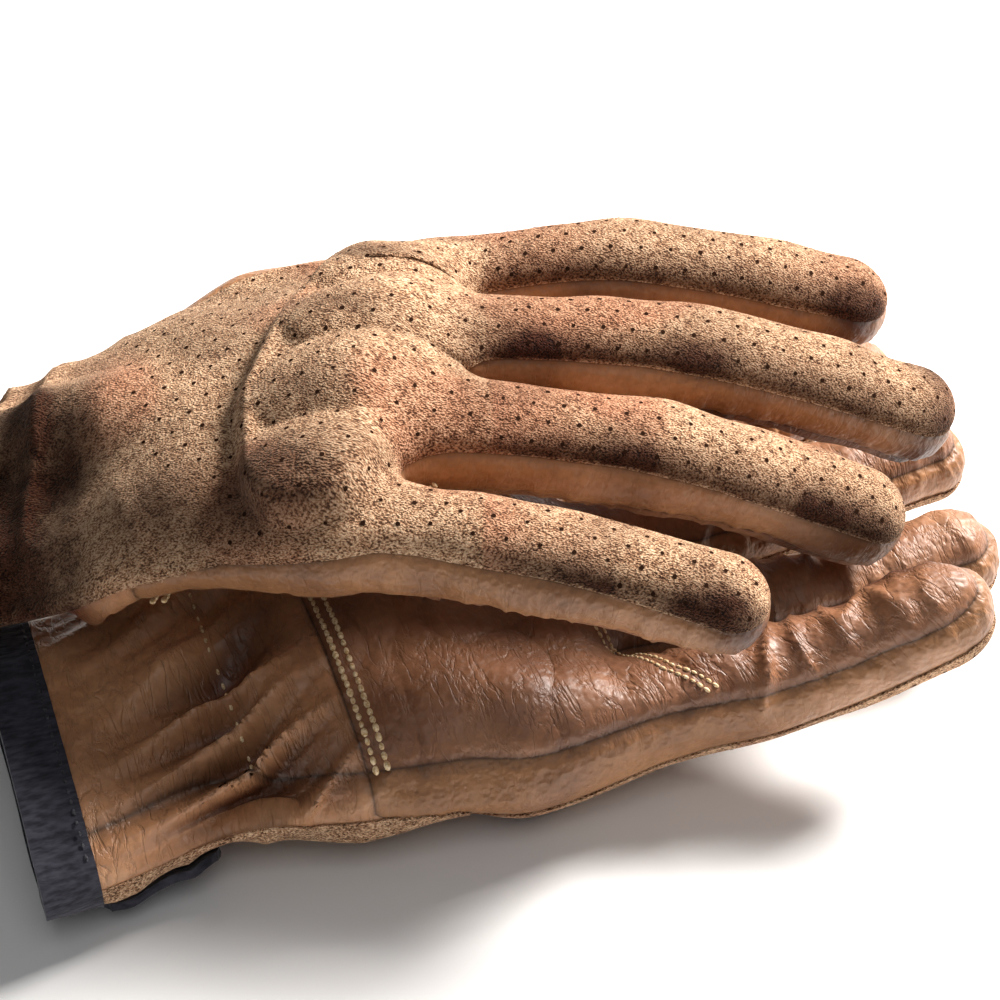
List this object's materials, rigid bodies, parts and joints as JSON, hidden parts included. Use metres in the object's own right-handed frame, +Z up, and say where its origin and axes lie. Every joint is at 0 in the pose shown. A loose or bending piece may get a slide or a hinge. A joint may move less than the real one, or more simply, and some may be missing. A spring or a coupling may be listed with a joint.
{
  "type": "riding gloves",
  "caption": "Pair of short riding gloves: perforated suede backs with moulded knuckle guards, smooth leather palms and finger side bands, bound cuffs; one glove laid on the other.",
  "frame": {"origin": "middle of the flat patch on which the back of the lower, left glove rests", "axes": "+X towards the fingertips, +Z up, +Y towards the thumb side of the pair"},
  "size_m": [0.2287, 0.1589, 0.0819],
  "materials": {
    "suede": "napped suede, perforated",
    "leather": "smooth aniline leather",
    "palm_leather": "smooth leather with fine creases",
    "binding": "woven binding tape",
    "elastic": "knitted elastic",
    "guard_shell": "moulded shell",
    "foam": "soft foam pad",
    "hook_and_loop": "hook and loop tape"
  },
  "bodies": {
    "left_hand": {"left_back_panel": "suede", "left_guard_shell": "guard_shell", "left_guard_foam": "foam", "left_outer_strip": "leather", "left_index_strip": "leather", "left_palm_panel": "palm_leather", "left_palm_patch": "palm_leather", "left_cuff_back": "suede", "left_cuff_palm": "leather", "left_cuff_binding": "binding", "left_wrist_elastic": "elastic", "left_loop_patch": "hook_and_loop", "left_wrist_tab": "hook_and_loop"},
    "left_thumb": {"left_thumb_back": "leather", "left_thumb_palm": "palm_leather"},
    "left_index": {"left_index_back": "suede", "left_index_band": "leather", "left_index_palm": "palm_leather"},
    "left_middle": {"left_middle_back": "suede", "left_middle_band": "leather", "left_middle_palm": "palm_leather"},
    "left_ring": {"left_ring_back": "suede", "left_ring_band": "leather", "left_ring_palm": "palm_leather"},
    "left_little": {"left_little_back": "suede", "left_little_band": "leather", "left_little_palm": "palm_leather"},
    "right_hand": {"right_back_panel": "suede", "right_guard_shell": "guard_shell", "right_guard_foam": "foam", "right_outer_strip": "leather", "right_index_strip": "leather", "right_palm_panel": "palm_leather", "right_palm_patch": "palm_leather", "right_cuff_back": "suede", "right_cuff_palm": "leather", "right_cuff_binding": "binding", "right_wrist_elastic": "elastic", "right_loop_patch": "hook_and_loop"},
    "right_tab": {"right_wrist_tab": "hook_and_loop"},
    "right_thumb": {"right_thumb_back": "leather", "right_thumb_palm": "palm_leather"},
    "right_index": {"right_index_back": "suede", "right_index_band": "leather", "right_index_palm": "palm_leather"},
    "right_middle": {"right_middle_back": "suede", "right_middle_band": "leather", "right_middle_palm": "palm_leather"},
    "right_ring": {"right_ring_back": "suede", "right_ring_band": "leather", "right_ring_palm": "palm_leather"},
    "right_little": {"right_little_back": "suede", "right_little_band": "leather", "right_little_palm": "palm_leather"}
  },
  "joints": [
    {"name": "right_glove_lift", "type": "slide", "parent": "left_hand", "child": "right_hand", "axis": [0, 0, 1], "range_m": [0, 0.12]},
    {"name": "left_index_bend", "type": "hinge", "parent": "left_hand", "child": "left_index", "pos_m": [0.00772, 0.03915, 0.02568], "axis": [0.3437, -0.9391, 0], "range_deg": [0, 9]},
    {"name": "left_middle_bend", "type": "hinge", "parent": "left_hand", "child": "left_middle", "pos_m": [0.01827, 0.01894, 0.02564], "axis": [0.3437, -0.9391, 0], "range_deg": [0, 4]},
    {"name": "left_ring_bend", "type": "hinge", "parent": "left_hand", "child": "left_ring", "pos_m": [0.021, -0.00563, 0.02552], "axis": [0.3437, -0.9391, 0], "range_deg": [0, 2]},
    {"name": "left_little_bend", "type": "hinge", "parent": "left_hand", "child": "left_little", "pos_m": [0.01413, -0.03075, 0.02548], "axis": [0.3437, -0.9391, 0], "range_deg": [0, 20]},
    {"name": "left_thumb_bend", "type": "hinge", "parent": "left_hand", "child": "left_thumb", "pos_m": [-0.04385, 0.02298, 0.02587], "axis": [0.9391, 0.3437, 0], "range_deg": [0, 14]},
    {"name": "right_index_bend", "type": "hinge", "parent": "right_hand", "child": "right_index", "pos_m": [-0.00792, 0.04534, 0.07562], "axis": [0.0003, -0.9946, -0.1036], "range_deg": [0, 28]},
    {"name": "right_middle_bend", "type": "hinge", "parent": "right_hand", "child": "right_middle", "pos_m": [-0.0051, 0.02365, 0.07379], "axis": [0.0003, -0.9946, -0.1036], "range_deg": [0, 28]},
    {"name": "right_ring_bend", "type": "hinge", "parent": "right_hand", "child": "right_ring", "pos_m": [-0.00983, 0.00044, 0.07044], "axis": [0.0003, -0.9946, -0.1036], "range_deg": [0, 28]},
    {"name": "right_little_bend", "type": "hinge", "parent": "right_hand", "child": "right_little", "pos_m": [-0.02577, -0.02274, 0.06633], "axis": [0.0003, -0.9946, -0.1036], "range_deg": [0, 28]},
    {"name": "right_thumb_bend", "type": "hinge", "parent": "right_hand", "child": "right_thumb", "pos_m": [-0.05428, 0.05409, 0.05514], "axis": [0.9907, -0.0138, 0.1357], "range_deg": [0, 25]},
    {"name": "right_tab_open", "type": "hinge", "parent": "right_hand", "child": "right_tab", "pos_m": [-0.10627, -0.02344, 0.05408], "axis": [0.9907, -0.0138, 0.1357], "range_deg": [0, 110]}
  ]
}
